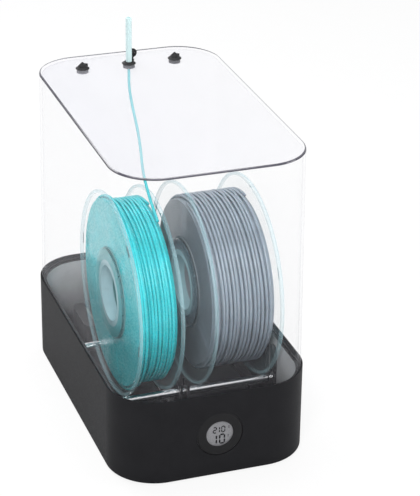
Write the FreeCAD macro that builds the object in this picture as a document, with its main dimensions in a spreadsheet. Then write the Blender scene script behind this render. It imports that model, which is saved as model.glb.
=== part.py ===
# Filament dry box: a black base and a clear lift-off cover over two spools that roll on steel rods.
# Frame: +X to the right, +Y to the back, +Z up, origin on the floor under the middle of the base.
# All lengths are in millimetres.

import FreeCAD, Part
import Sketcher
import math
import os

Vector = FreeCAD.Vector
Rotation = FreeCAD.Rotation
Placement = FreeCAD.Placement

doc = FreeCAD.newDocument("FilamentDryBox")

# Driving sizes: name, value, meaning
SIZES = [
    ("base_width", 190.0, "outside width of the base"),
    ("base_depth", 317.0, "outside depth of the base"),
    ("base_corner", 46.6, "outside corner radius of the base"),
    ("base_height", 87.0, "rim of the base above the floor"),
    ("foot_proud", 1.0, "how far the feet lift the base"),
    ("foot_sunk", 1.4, "depth of the foot recesses"),
    ("foot_diameter", 18.0, "diameter of a foot"),
    ("foot_inset_x", 38.0, "foot centre in from the side"),
    ("foot_inset_y", 38.0, "foot centre in from the front or back"),
    ("shell_wall", 4.0, "wall of the outer shell"),
    ("shell_floor", 3.0, "floor of the outer shell"),
    ("shell_edge", 2.5, "rounding of the bottom edge"),
    ("rim_lip", 1.3, "thin lip outside the cover"),
    ("rim_rebate", 5.0, "depth of the rebate that takes the cover"),
    ("liner_gap", 0.4, "space between shell and liner walls"),
    ("liner_wall", 2.0, "wall of the liner"),
    ("liner_floor", 2.0, "floor of the liner"),
    ("liner_raise", 5.0, "height of the screw bosses under the liner"),
    ("boss_diameter", 9.0, "screw boss under the liner"),
    ("boss_inset_x", 56.0, "boss centre in from the side"),
    ("boss_inset_y", 30.0, "boss centre in from the front or back"),
    ("screw_diameter", 3.0, "shank of a screw"),
    ("screw_head", 5.6, "head diameter of a screw"),
    ("screw_head_height", 1.8, "head height of a screw"),
    ("screw_length", 7.0, "shank length of a screw"),
    ("screw_gap", 0.2, "clearance round a screw"),
    ("gasket_height", 1.8, "height of the rim gasket"),
    ("gasket_gap", 0.2, "space each side of the gasket"),
    ("cover_gap", 0.35, "space between lip and cover"),
    ("cover_wall", 2.4, "wall of the cover"),
    ("cover_roof", 2.6, "roof of the cover"),
    ("cover_draft", 2.2, "how far each side leans in at the roof"),
    ("cover_edge", 1.6, "rounding of the roof's edge"),
    ("cover_height", 306.0, "roof of the cover above the floor"),
    ("rod_diameter", 8.0, "diameter of a rod"),
    ("rod_spread", 57.0, "rod axis in front of or behind the middle"),
    ("rod_height", 34.0, "rod axis above the floor"),
    ("rod_end_gap", 0.4, "space at the ends of a rod"),
    ("rod_chamfer", 0.6, "chamfer on a rod's ends"),
    ("roll_gap", 0.3, "running space between spool and rod"),
    ("bush_diameter", 11.0, "outside of a rod bush"),
    ("bush_gap", 0.1, "running space in and round a bush"),
    ("plate_thick", 3.4, "thickness of a rod plate"),
    ("plate_reach", 72.0, "rod plate's end in front of the middle"),
    ("plate_top", 74.0, "top of a rod plate"),
    ("plate_corner", 8.0, "rounded top corners of a rod plate"),
    ("plate_foot", 10.0, "width of a plate's foot"),
    ("foot_thick", 3.0, "thickness of the plates' and stand's feet"),
    ("plate_screw_spread", 28.0, "plate screw in front of or behind the middle"),
    ("stand_place", -2.5, "middle of the centre stand along the rods"),
    ("stand_pitch", 7.2, "distance between the stand's webs"),
    ("web_thick", 2.2, "thickness of a stand web"),
    ("web_width", 18.0, "width of a web across the rod"),
    ("web_top", 45.0, "top of a web"),
    ("stand_foot", 18.0, "width of the stand's foot"),
    ("stand_screw_spread", 22.0, "stand screw in front of or behind the middle"),
    ("spool_diameter", 200.0, "flange diameter"),
    ("left_spool_space", 27.05, "space between left spool and left rod plate"),
    ("left_spool_start", 14.15, "left spool's inner face from the middle"),
    ("left_wound_diameter", 180.0, "left winding across its outer layer"),
    ("right_spool_space", 1.4, "space between right spool and right rod plate"),
    ("right_spool_start", 15.5, "right spool's inner face from the middle"),
    ("right_wound_diameter", 171.0, "right winding across its outer layer"),
    ("turn_pitch", 3.9, "least distance between turns of the outer layer"),
    ("filament_diameter", 2.85, "diameter of the filament"),
    ("wound_side_gap", 0.5, "space between winding and flange"),
    ("core_gap", 0.15, "space under the outer layer"),
    ("flange_thick", 2.4, "thickness of a flange"),
    ("bead_thick", 3.2, "thickness of the flange's rim"),
    ("bead_width", 3.0, "width of the flange's rim"),
    ("bead_chamfer", 0.6, "broken edges of the rim"),
    ("bore_diameter", 54.0, "bore of a spool"),
    ("bore_wall", 2.4, "collar round the bore"),
    ("bore_depth", 12.0, "depth of the bore's collar"),
    ("rib_thick", 1.6, "thickness of the ribs round the bore"),
    ("hub_diameter", 88.0, "drum that carries the filament"),
    ("hub_wall", 3.0, "wall of the drum"),
    ("spigot_wall", 2.8, "wall of the flange's spigot in the drum"),
    ("spigot_depth", 6.0, "how far the spigot enters the drum"),
    ("spigot_gap", 0.2, "space between spigot and drum"),
    ("window_width", 13.0, "width of a window in a flange"),
    ("window_inset", 4.0, "space between drum and window"),
    ("window_length", 34.0, "length of a window along the radius"),
    ("tie_inset", 6.6, "filament tie holes in from the flange's edge"),
    ("tie_width", 3.6, "width of a tie hole"),
    ("tie_length", 11.0, "length of a tie hole"),
    ("cassette_width", 116.0, "desiccant cassette across the box"),
    ("cassette_depth", 52.0, "desiccant cassette front to back"),
    ("cassette_inset", 22.5, "cassette's far end in from the front or back"),
    ("cassette_height", 28.0, "height of a cassette's tray"),
    ("cassette_wall", 2.0, "wall of a cassette"),
    ("cassette_corner", 8.0, "corner radius of a cassette"),
    ("cassette_lid", 2.2, "thickness of a cassette's lid"),
    ("grille_slot", 3.2, "width of a slot in the lid"),
    ("grille_length", 36.0, "length of a slot in the lid"),
    ("grille_pitch", 10.0, "distance between slots in the lid"),
    ("fill_gap", 0.3, "space round the desiccant"),
    ("meter_height", 44.5, "meter's axis above the floor"),
    ("meter_face", 44.0, "outside of the meter's bezel"),
    ("meter_body", 38.0, "barrel of the meter"),
    ("meter_window", 26.0, "window in the bezel"),
    ("meter_recess", 2.0, "recess in the base for the meter's flange"),
    ("meter_flange", 1.2, "thickness of the case's flange"),
    ("meter_wall", 1.6, "barrel wall"),
    ("meter_front", 2.2, "front wall of the case"),
    ("meter_gap", 0.3, "space round the meter and its inner pieces"),
    ("bezel_thick", 1.0, "thickness of the bezel"),
    ("bezel_slope", 1.4, "sloped edge of the bezel"),
    ("lens_thick", 1.1, "thickness of the window"),
    ("board_thick", 1.4, "thickness of the circuit board"),
    ("cell_diameter", 11.6, "diameter of a button cell"),
    ("cell_height", 5.4, "height of a button cell"),
    ("cell_spread", 6.2, "cell centre beside the meter's axis"),
    ("back_thick", 2.4, "thickness of the meter's back"),
    ("vent_diameter", 2.4, "vent hole in the meter's back"),
    ("vent_radius", 11.0, "vent holes from the meter's axis"),
    ("port_spread", 47.0, "outer port beside the middle"),
    ("port_inset", 39.0, "ports in from the back of the base"),
    ("port_flange", 13.5, "foot of a port on the roof"),
    ("port_crown", 8.6, "crown of a port's cone"),
    ("port_under", 11.6, "lip of a port under the roof"),
    ("port_neck", 10.0, "neck of a port"),
    ("port_neck_gap", 0.2, "space round the neck"),
    ("port_edge", 0.4, "straight edge under a port's cone"),
    ("port_top", 2.2, "height of a port above the roof"),
    ("port_bottom", 1.4, "thickness of the lip under the roof"),
    ("port_bore", 6.2, "bore of a port"),
    ("hinge_reach", 6.0, "plug strap's bend from the port's axis"),
    ("strap_width", 3.0, "width of the plug's strap"),
    ("strap_thick", 0.8, "thickness of the plug's strap"),
    ("lug_gap", 0.3, "space between strap and lug"),
    ("lug_length", 1.3, "length of the lug that holds the strap"),
    ("plug_diameter", 8.4, "base of a plug's cone"),
    ("plug_edge", 0.4, "straight edge under the cone"),
    ("plug_rise", 4.1, "height of a plug's cone"),
    ("plug_nub", 1.2, "diameter of a plug's tip"),
    ("plug_stem", 5.7, "diameter of a plug's stem at the cone"),
    ("plug_stem_tip", 4.0, "diameter of a plug's stem at its end"),
    ("plug_stem_length", 3.2, "length of a plug's stem"),
    ("plug_gap", 0.15, "space between plug and port"),
    ("plug_open", 115.0, "opening of the centre plug, in degrees"),
    ("tube_outside", 6.0, "outside of the guide tube"),
    ("tube_bore", 4.0, "bore of the guide tube"),
    ("tube_rise", 47.0, "guide tube above the roof"),
]

# Numbers of repeated features
FLANGE_WINDOWS = 3
FLANGE_TIE_HOLES = 6
FLANGE_RIBS = 12
GRILLE_SLOTS = 10
METER_VENTS = 6

# How each spool is turned on its axis, in degrees
LEFT_SPIN = 100.0
RIGHT_SPIN = 55.0


class Size:
    """A length that carries its number and the sheet formula behind it."""

    def __init__(self, number, formula):
        self.number = float(number)
        self.formula = formula

    def __add__(self, other):
        other = as_size(other)
        return Size(self.number + other.number, f"({self.formula} + {other.formula})")

    def __sub__(self, other):
        other = as_size(other)
        return Size(self.number - other.number, f"({self.formula} - {other.formula})")

    def __mul__(self, other):
        other = as_size(other)
        return Size(self.number * other.number, f"({self.formula} * {other.formula})")

    def __truediv__(self, other):
        other = as_size(other)
        return Size(self.number / other.number, f"({self.formula} / {other.formula})")

    def __neg__(self):
        return Size(-self.number, f"(0 - {self.formula})")


def as_size(value):
    if isinstance(value, Size):
        return value
    if value < 0:
        return Size(value, f"(0 - {-float(value)})")
    return Size(value, f"{float(value)}")


def root(size):
    return Size(math.sqrt(size.number), f"sqrt({size.formula})")


class Sizes:
    """The driving sizes, one attribute per cell of the sheet."""


sheet = doc.addObject("Spreadsheet::Sheet", "Sizes")
d = Sizes()
for row, (alias, value, meaning) in enumerate(SIZES, start=1):
    sheet.set(f"A{row}", meaning)
    sheet.set(f"B{row}", str(value))
    sheet.setAlias(f"B{row}", alias)
    setattr(d, alias, Size(value, f"Sizes.{alias}"))
doc.recompute()

# Levels and places that several pieces share
half_width = d.base_width / 2
half_depth = d.base_depth / 2
shell_floor_z = d.foot_proud + d.shell_floor
liner_z = shell_floor_z + d.liner_raise
deck_z = liner_z + d.liner_floor
ledge_z = d.base_height - d.rim_rebate
cover_z = ledge_z + d.gasket_height
inside_x = half_width - d.shell_wall - d.liner_gap - d.liner_wall
port_back = half_depth - d.port_inset
roll_reach = (d.spool_diameter + d.rod_diameter) / 2 + d.roll_gap
axle_z = d.rod_height + root(roll_reach * roll_reach - d.rod_spread * d.rod_spread)
ABOUT_X = Rotation(Vector(0, 1, 0), 90)
ABOUT_X_REVERSED = Rotation(Vector(0, 1, 0), -90)
FACING_FRONT = Rotation(Vector(1, 0, 0), 90)


def bind(item, name, size):
    item.setExpression(name, as_size(size).formula)


def place(item, x, y, z, rotation=Rotation()):
    base = [as_size(value) for value in (x, y, z)]
    item.Placement = Placement(Vector(*[size.number for size in base]), rotation)
    for axis, size in zip("xyz", base):
        item.setExpression(f"Placement.Base.{axis}", size.formula)
    return item


def new_body(label):
    body = doc.addObject("PartDesign::Body", label)
    body.Label = label
    return body


def origin_feature(body, role):
    return [feature for feature in body.Origin.OriginFeatures if feature.Role == role][0]


def sketch_on(body, role, height=0.0):
    height = as_size(height)
    sketch = body.newObject("Sketcher::SketchObject", "Sketch")
    sketch.AttachmentSupport = [(origin_feature(body, role), "")]
    sketch.MapMode = "FlatFace"
    sketch.AttachmentOffset = Placement(Vector(0, 0, height.number), Rotation())
    bind(sketch, "AttachmentOffset.Base.z", height)
    return sketch


def constrain(sketch, size, *terms):
    size = as_size(size)
    index = sketch.addConstraint(Sketcher.Constraint(*terms, size.number))
    bind(sketch, f"Constraints[{index}]", size)


def pin_point(sketch, curve, point, x, y):
    constrain(sketch, x, "DistanceX", -1, 1, curve, point)
    constrain(sketch, y, "DistanceY", -1, 1, curve, point)


def add_polygon(sketch, points):
    corners = [Vector(as_size(x).number, as_size(y).number, 0) for x, y in points]
    count = len(corners)
    lines = []
    for i in range(count):
        line = Part.LineSegment(corners[i], corners[(i + 1) % count])
        lines.append(sketch.addGeometry(line, False))
    for i in range(count):
        following = lines[(i + 1) % count]
        sketch.addConstraint(Sketcher.Constraint("Coincident", lines[i], 2, following, 1))
        pin_point(sketch, lines[i], 1, *points[i])


def add_rectangle(sketch, x0, x1, y0, y1):
    add_polygon(sketch, [(x0, y0), (x1, y0), (x1, y1), (x0, y1)])


def add_circle(sketch, x, y, radius):
    x, y, radius = as_size(x), as_size(y), as_size(radius)
    circle = Part.Circle(Vector(x.number, y.number, 0), Vector(0, 0, 1), radius.number)
    curve = sketch.addGeometry(circle, False)
    pin_point(sketch, curve, 3, x, y)
    constrain(sketch, radius, "Radius", curve)


def add_round_outline(sketch, centres, radius):
    """Arcs of one radius about the given centres, anticlockwise, joined by tangent lines."""
    radius = as_size(radius)
    middles = [Vector(as_size(x).number, as_size(y).number, 0) for x, y in centres]
    count = len(middles)
    normals = []
    for i in range(count):
        along = (middles[(i + 1) % count] - middles[i]).normalize()
        normals.append(Vector(along.y, -along.x, 0))
    arcs = []
    lines = []
    for i in range(count):
        start = math.atan2(normals[i - 1].y, normals[i - 1].x)
        end = math.atan2(normals[i].y, normals[i].x)
        if end <= start:
            end += 2 * math.pi
        circle = Part.Circle(middles[i], Vector(0, 0, 1), radius.number)
        arcs.append(sketch.addGeometry(Part.ArcOfCircle(circle, start, end), False))
        reach = normals[i] * radius.number
        line = Part.LineSegment(middles[i] + reach, middles[(i + 1) % count] + reach)
        lines.append(sketch.addGeometry(line, False))
    for i in range(count):
        following = arcs[(i + 1) % count]
        sketch.addConstraint(Sketcher.Constraint("Tangent", arcs[i], 2, lines[i], 1))
        sketch.addConstraint(Sketcher.Constraint("Tangent", lines[i], 2, following, 1))
        pin_point(sketch, arcs[i], 3, *centres[i])
        if count > 2 or i == 0:
            constrain(sketch, radius, "Radius", arcs[i])


def add_rounded_rectangle(sketch, half_x, half_y, radius):
    x = half_x - radius
    y = half_y - radius
    add_round_outline(sketch, [(-x, -y), (x, -y), (x, y), (-x, y)], radius)


def pad(body, sketch, length):
    feature = body.newObject("PartDesign::Pad", "Pad")
    feature.Profile = sketch
    bind(feature, "Length", length)
    return feature


def pocket(body, sketch, depth, reverse=False):
    feature = body.newObject("PartDesign::Pocket", "Pocket")
    feature.Profile = sketch
    feature.Reversed = reverse
    bind(feature, "Length", depth)
    return feature


def ring_pattern(body, feature, count):
    pattern = body.newObject("PartDesign::PolarPattern", "Ring")
    pattern.Originals = [feature]
    pattern.Axis = (origin_feature(body, "Z_Axis"), [""])
    pattern.Angle = 360
    pattern.Occurrences = count
    body.Tip = pattern
    return pattern


def turned(label, outline):
    """A solid of revolution about local Z, from (radius, height) corners."""
    body = new_body(label)
    sketch = sketch_on(body, "XZ_Plane")
    add_polygon(sketch, outline)
    feature = body.newObject("PartDesign::Revolution", "Turned")
    feature.Profile = sketch
    feature.ReferenceAxis = (sketch, ["V_Axis"])
    feature.Angle = 360
    return body


def ring(label, inner, outer, low, high):
    return turned(label, [(inner, low), (outer, low), (outer, high), (inner, high)])


def disc(label, radius, low, high):
    return turned(label, [(0.0, low), (radius, low), (radius, high), (0.0, high)])


def edge_names(shape, wanted):
    return [f"Edge{i}" for i, edge in enumerate(shape.Edges, start=1) if wanted(edge)]


def round_edges(body, base, wanted, radius):
    doc.recompute()
    fillet = body.newObject("PartDesign::Fillet", "Rounded")
    fillet.Base = (base, edge_names(base.Shape, wanted))
    bind(fillet, "Radius", radius)
    return fillet


def group(label, pattern, places):
    """Copies of one piece as separate solids of one node."""
    doc.recompute()
    solids = []
    for place_of_one in places:
        copy = pattern.Shape.copy()
        copy.Placement = place_of_one
        solids.append(copy)
    item = doc.addObject("Part::Feature", label)
    item.Label = label
    item.Shape = Part.Compound(solids)
    return item


def four_corners(x, y):
    return [(-x, -y), (x, -y), (x, y), (-x, y)]


nodes = []

# Outer shell of the base
shell = new_body("outer_shell")
sketch = sketch_on(shell, "XY_Plane", d.foot_proud)
add_rounded_rectangle(sketch, half_width, half_depth, d.base_corner)
block = pad(shell, sketch, d.base_height - d.foot_proud)
shell_base_z = d.foot_proud.number
round_edges(shell, block, lambda e: all(abs(v.Z - shell_base_z) < 0.01 for v in e.Vertexes), d.shell_edge)
sketch = sketch_on(shell, "XY_Plane", d.base_height)
add_rounded_rectangle(sketch, half_width - d.shell_wall, half_depth - d.shell_wall, d.base_corner - d.shell_wall)
pocket(shell, sketch, d.base_height - shell_floor_z)
sketch = sketch_on(shell, "XY_Plane", d.base_height)
add_rounded_rectangle(sketch, half_width - d.rim_lip, half_depth - d.rim_lip, d.base_corner - d.rim_lip)
pocket(shell, sketch, d.rim_rebate)
sketch = sketch_on(shell, "XZ_Plane", half_depth)
add_circle(sketch, 0.0, d.meter_height, d.meter_face / 2 + d.meter_gap)
pocket(shell, sketch, d.meter_recess)
sketch = sketch_on(shell, "XZ_Plane", half_depth)
add_circle(sketch, 0.0, d.meter_height, d.meter_body / 2 + d.meter_gap)
pocket(shell, sketch, d.shell_wall * 2)
foot_x = half_width - d.foot_inset_x
foot_y = half_depth - d.foot_inset_y
sketch = sketch_on(shell, "XY_Plane", d.foot_proud)
for x, y in four_corners(foot_x, foot_y):
    add_circle(sketch, x, y, d.foot_diameter / 2 + d.screw_gap)
pocket(shell, sketch, d.foot_sunk, reverse=True)
boss_x = half_width - d.boss_inset_x
boss_y = half_depth - d.boss_inset_y
sketch = sketch_on(shell, "XY_Plane", d.foot_proud)
for x, y in four_corners(boss_x, boss_y):
    add_circle(sketch, x, y, d.screw_head / 2 + d.screw_gap)
pocket(shell, sketch, d.screw_head_height, reverse=True)
sketch = sketch_on(shell, "XY_Plane", d.foot_proud)
for x, y in four_corners(boss_x, boss_y):
    add_circle(sketch, x, y, d.screw_diameter / 2 + d.screw_gap)
pocket(shell, sketch, d.shell_floor * 2, reverse=True)
nodes.append(shell)

# Grey liner with its screw bosses
liner_inset = d.shell_wall + d.liner_gap
tub = new_body("inner_tub")
sketch = sketch_on(tub, "XY_Plane", liner_z)
add_rounded_rectangle(sketch, half_width - liner_inset, half_depth - liner_inset, d.base_corner - liner_inset)
pad(tub, sketch, ledge_z - liner_z)
tub_inset = liner_inset + d.liner_wall
sketch = sketch_on(tub, "XY_Plane", ledge_z)
add_rounded_rectangle(sketch, half_width - tub_inset, half_depth - tub_inset, d.base_corner - tub_inset)
pocket(tub, sketch, ledge_z - deck_z)
sketch = sketch_on(tub, "XY_Plane", shell_floor_z)
for x, y in four_corners(boss_x, boss_y):
    add_circle(sketch, x, y, d.boss_diameter / 2)
pad(tub, sketch, d.liner_raise)
sketch = sketch_on(tub, "XY_Plane", shell_floor_z)
for x, y in four_corners(boss_x, boss_y):
    add_circle(sketch, x, y, d.screw_diameter / 2 + d.screw_gap)
pocket(tub, sketch, d.screw_length, reverse=True)
plate_screw_x = inside_x - d.plate_thick - d.plate_foot / 2
sketch = sketch_on(tub, "XY_Plane", deck_z)
for side in (-1, 1):
    for end in (-1, 1):
        add_circle(sketch, plate_screw_x * side, d.plate_screw_spread * end, d.screw_diameter / 2 + d.screw_gap)
for end in (-1, 1):
    add_circle(sketch, d.stand_place, d.stand_screw_spread * end, d.screw_diameter / 2 + d.screw_gap)
pocket(tub, sketch, d.liner_floor * 2)
sketch = sketch_on(tub, "XZ_Plane", half_depth)
add_circle(sketch, 0.0, d.meter_height, d.meter_body / 2 + d.meter_gap)
pocket(tub, sketch, tub_inset * 2)
nodes.append(tub)

# Gasket on the rim's ledge
gasket = new_body("rim_gasket")
sketch = sketch_on(gasket, "XY_Plane", ledge_z)
for inset in (d.rim_lip + d.gasket_gap, d.shell_wall - d.gasket_gap):
    add_rounded_rectangle(sketch, half_width - inset, half_depth - inset, d.base_corner - inset)
pad(gasket, sketch, d.gasket_height)
nodes.append(gasket)

# Feet and screws
foot = turned("foot_shape", [
    (0.0, 0.0),
    (d.foot_diameter / 2 - d.foot_proud, 0.0),
    (d.foot_diameter / 2, d.foot_proud),
    (d.foot_diameter / 2, d.foot_proud + d.foot_sunk),
    (0.0, d.foot_proud + d.foot_sunk),
])
foot_places = []
for x, y in four_corners(foot_x, foot_y):
    foot_places.append(Placement(Vector(x.number, y.number, 0), Rotation()))
nodes.append(group("rubber_feet", foot, foot_places))

screw = turned("screw_shape", [
    (0.0, 0.0),
    (d.screw_diameter / 2, 0.0),
    (d.screw_diameter / 2, d.screw_length),
    (d.screw_head / 2, d.screw_length),
    (d.screw_head / 2, d.screw_length + d.screw_head_height),
    (0.0, d.screw_length + d.screw_head_height),
])
UPSIDE_DOWN = Rotation(Vector(1, 0, 0), 180)
screw_drop = d.foot_proud.number + d.screw_head_height.number + d.screw_length.number
screw_places = []
for x, y in four_corners(boss_x, boss_y):
    screw_places.append(Placement(Vector(x.number, y.number, screw_drop), UPSIDE_DOWN))
nodes.append(group("tub_screws", screw, screw_places))

stand_screw_z = deck_z.number + d.foot_thick.number - d.screw_length.number
screw_places = []
for side in (-1, 1):
    for end in (-1, 1):
        spot = Vector(plate_screw_x.number * side, d.plate_screw_spread.number * end, stand_screw_z)
        screw_places.append(Placement(spot, Rotation()))
for end in (-1, 1):
    spot = Vector(d.stand_place.number, d.stand_screw_spread.number * end, stand_screw_z)
    screw_places.append(Placement(spot, Rotation()))
nodes.append(group("stand_screws", screw, screw_places))

# Rod plates along the side walls, each with a foot and two open slots
slot_radius = d.bush_diameter / 2 + d.bush_gap


def cut_rod_slots(body, from_x, length, top):
    for end in (-1, 1):
        sketch = sketch_on(body, "YZ_Plane", from_x)
        y = d.rod_spread * end
        add_round_outline(sketch, [(y, d.rod_height), (y, top + slot_radius * 2)], slot_radius)
        pocket(body, sketch, length, reverse=True)


def rod_plate(label, side):
    body = new_body(label)
    outer = inside_x if side > 0 else d.plate_thick - inside_x
    sketch = sketch_on(body, "YZ_Plane", outer - d.plate_thick)
    add_rectangle(sketch, -d.plate_reach, d.plate_reach, deck_z, d.plate_top)
    wall = pad(body, sketch, d.plate_thick)
    top_z = d.plate_top.number
    upper = lambda e: all(v.Z > top_z - 0.01 for v in e.Vertexes)
    corners = lambda e: upper(e) and abs(e.Vertexes[0].X - e.Vertexes[-1].X) > 0.01
    round_edges(body, wall, corners, d.plate_corner)
    sketch = sketch_on(body, "XY_Plane", deck_z)
    near = (inside_x - d.plate_thick) * side
    add_rectangle(sketch, *sorted((near - d.plate_foot * side, near), key=lambda s: s.number),
                  -d.plate_reach, d.plate_reach)
    pad(body, sketch, d.foot_thick)
    cut_rod_slots(body, outer - d.plate_thick, d.plate_thick, d.plate_top)
    sketch = sketch_on(body, "XY_Plane", deck_z + d.foot_thick)
    for end in (-1, 1):
        add_circle(sketch, plate_screw_x * side, d.plate_screw_spread * end, d.screw_diameter / 2 + d.screw_gap)
    pocket(body, sketch, d.foot_thick)
    return body


nodes.append(rod_plate("left_rod_plate", -1))
nodes.append(rod_plate("right_rod_plate", 1))

# Centre stand with two webs under each pair of rods
stand = new_body("centre_stand")
sketch = sketch_on(stand, "XY_Plane", deck_z)
stand_reach = d.rod_spread + d.web_width / 2
add_rectangle(sketch, d.stand_place - d.stand_foot / 2, d.stand_place + d.stand_foot / 2,
              -stand_reach, stand_reach)
pad(stand, sketch, d.foot_thick)
web_places = [d.stand_place - d.stand_pitch / 2, d.stand_place + d.stand_pitch / 2]
for web in web_places:
    sketch = sketch_on(stand, "YZ_Plane", web - d.web_thick / 2)
    for end in (-1, 1):
        y = d.rod_spread * end
        add_rectangle(sketch, y - d.web_width / 2, y + d.web_width / 2, deck_z, d.web_top)
    pad(stand, sketch, d.web_thick)
cut_rod_slots(stand, web_places[0] - d.web_thick / 2, d.stand_pitch + d.web_thick, d.web_top)
sketch = sketch_on(stand, "XY_Plane", deck_z + d.foot_thick)
for end in (-1, 1):
    add_circle(sketch, d.stand_place, d.stand_screw_spread * end, d.screw_diameter / 2 + d.screw_gap)
pocket(stand, sketch, d.foot_thick)
nodes.append(stand)

# Bushes in the slots
bush = ring("bush_shape", d.rod_diameter / 2 + d.bush_gap, d.bush_diameter / 2,
            -d.web_thick / 2, d.web_thick / 2)
plate_middle = inside_x - d.plate_thick / 2
bush_places = []
for x in (-plate_middle, web_places[0], web_places[1], plate_middle):
    for end in (-1, 1):
        spot = Vector(x.number, d.rod_spread.number * end, d.rod_height.number)
        bush_places.append(Placement(spot, ABOUT_X))
nodes.append(group("rod_bushes", bush, bush_places))


# Steel rods, one pair under each spool
def steel_rod(label, start, end, y):
    radius = d.rod_diameter / 2
    length = end - start
    body = turned(label, [
        (0.0, 0.0),
        (radius - d.rod_chamfer, 0.0),
        (radius, d.rod_chamfer),
        (radius, length - d.rod_chamfer),
        (radius - d.rod_chamfer, length),
        (0.0, length),
    ])
    return place(body, start, y, d.rod_height, ABOUT_X)


rod_outer = inside_x - d.rod_end_gap
rod_meets = d.rod_end_gap / 2
nodes.append(steel_rod("front_left_rod", -rod_outer, d.stand_place - rod_meets, -d.rod_spread))
nodes.append(steel_rod("rear_left_rod", -rod_outer, d.stand_place - rod_meets, d.rod_spread))
nodes.append(steel_rod("front_right_rod", d.stand_place + rod_meets, rod_outer, -d.rod_spread))
nodes.append(steel_rod("rear_right_rod", d.stand_place + rod_meets, rod_outer, d.rod_spread))


# Spools: clear flanges with spigots, a drum, the wound core and the outer layer of turns
def flange(label, outer_face, rotation):
    spool_radius = d.spool_diameter / 2
    bore_radius = d.bore_diameter / 2
    spigot_radius = d.hub_diameter / 2 - d.hub_wall - d.spigot_gap
    body = turned(label, [
        (bore_radius, 0.0),
        (spool_radius - d.bead_chamfer, 0.0),
        (spool_radius, d.bead_chamfer),
        (spool_radius, d.bead_thick - d.bead_chamfer),
        (spool_radius - d.bead_chamfer, d.bead_thick),
        (spool_radius - d.bead_width, d.bead_thick),
        (spool_radius - d.bead_width, d.flange_thick),
        (spigot_radius, d.flange_thick),
        (spigot_radius, d.flange_thick + d.spigot_depth),
        (spigot_radius - d.spigot_wall, d.flange_thick + d.spigot_depth),
        (spigot_radius - d.spigot_wall, d.flange_thick),
        (bore_radius + d.bore_wall, d.flange_thick),
        (bore_radius + d.bore_wall, d.bore_depth),
        (bore_radius, d.bore_depth),
    ])
    sketch = sketch_on(body, "XY_Plane", d.flange_thick)
    add_rectangle(sketch, bore_radius + d.bore_wall / 2, spigot_radius - d.spigot_wall / 2,
                  -d.rib_thick / 2, d.rib_thick / 2)
    ring_pattern(body, pad(body, sketch, d.spigot_depth), FLANGE_RIBS)
    sketch = sketch_on(body, "XY_Plane", d.flange_thick * 2)
    half_window = d.window_width / 2
    window_start = d.hub_diameter / 2 + d.window_inset
    ends = [(window_start + half_window, 0.0), (window_start + d.window_length - half_window, 0.0)]
    add_round_outline(sketch, ends, half_window)
    ring_pattern(body, pocket(body, sketch, d.flange_thick * 3), FLANGE_WINDOWS)
    sketch = sketch_on(body, "XY_Plane", d.flange_thick * 2)
    half_tie = d.tie_width / 2
    swing = d.tie_length / 2 - half_tie
    tie_radius = spool_radius - d.tie_inset
    add_round_outline(sketch, [(tie_radius, -swing), (tie_radius, swing)], half_tie)
    ring_pattern(body, pocket(body, sketch, d.flange_thick * 3), FLANGE_TIE_HOLES)
    return place(body, outer_face, 0.0, axle_z, rotation)


def biarc(start, start_way, end, end_way):
    """Two arcs that join smoothly and keep the given directions at both ends."""
    chord = end - start
    ways = start_way + end_way
    spread = 2 - 2 * start_way.dot(end_way)
    middle = chord.dot(ways)
    reach = (math.sqrt(middle * middle + spread * chord.dot(chord)) - middle) / spread
    first_knee = start + start_way * reach
    second_knee = end - end_way * reach
    joint = (first_knee + second_knee) * 0.5
    return [arc_through(start, first_knee, joint), arc_through(joint, second_knee, end)]


def arc_through(start, knee, end):
    """The arc from start to end that is tangent to both lines through the knee."""
    half_chord = (end - start) * 0.5
    to_knee = knee - start
    lean = math.acos(min(1.0, half_chord.dot(to_knee) / (half_chord.Length * to_knee.Length)))
    chord_middle = start + half_chord
    rise = (knee - chord_middle).normalize() * (half_chord.Length * math.tan(lean / 2))
    return Part.Arc(start, chord_middle + rise, end).toShape()


def round_tube(path, radius):
    first = path.Edges[0]
    section = Part.Circle(first.valueAt(first.FirstParameter), first.tangentAt(first.FirstParameter), radius)
    return path.makePipeShell([Part.Wire([section.toShape()])], True, False)


def winding(label, low_x, high_x, radius, thick):
    """One unbroken tube wound in a single layer, with a straight tail at each end."""
    turns = math.floor((high_x - low_x) / d.turn_pitch.number)
    pitch = (high_x - low_x) / turns
    steps = turns * 4
    slope = pitch / (2 * math.pi * radius)
    height = axle_z.number

    def point(step):
        angle = step * math.pi / 2
        return Vector(low_x + pitch * step / 4, radius * math.sin(angle), height + radius * math.cos(angle))

    def way(step):
        angle = step * math.pi / 2
        return Vector(slope, math.cos(angle), -math.sin(angle)).normalize()

    edges = [Part.LineSegment(point(0) - way(0) * thick, point(0)).toShape()]
    for step in range(steps):
        edges.extend(biarc(point(step), way(step), point(step + 1), way(step + 1)))
    edges.append(Part.LineSegment(point(steps), point(steps) + way(steps) * thick).toShape())
    samples = [point(step / 6) for step in range(steps * 6)]
    apart = min((a - b).Length for i, a in enumerate(samples) for b in samples[i + 12:i + 30])
    item = doc.addObject("Part::Feature", label)
    item.Label = label
    item.Shape = round_tube(Part.Wire(edges), thick / 2)
    length = sum(edge.Length for edge in edges)
    print(label, "least gap", round(apart - thick, 2), "length", round(length),
          "volume ratio", round(item.Shape.Volume / (math.pi * thick * thick / 4 * length), 4))
    return item


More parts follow.
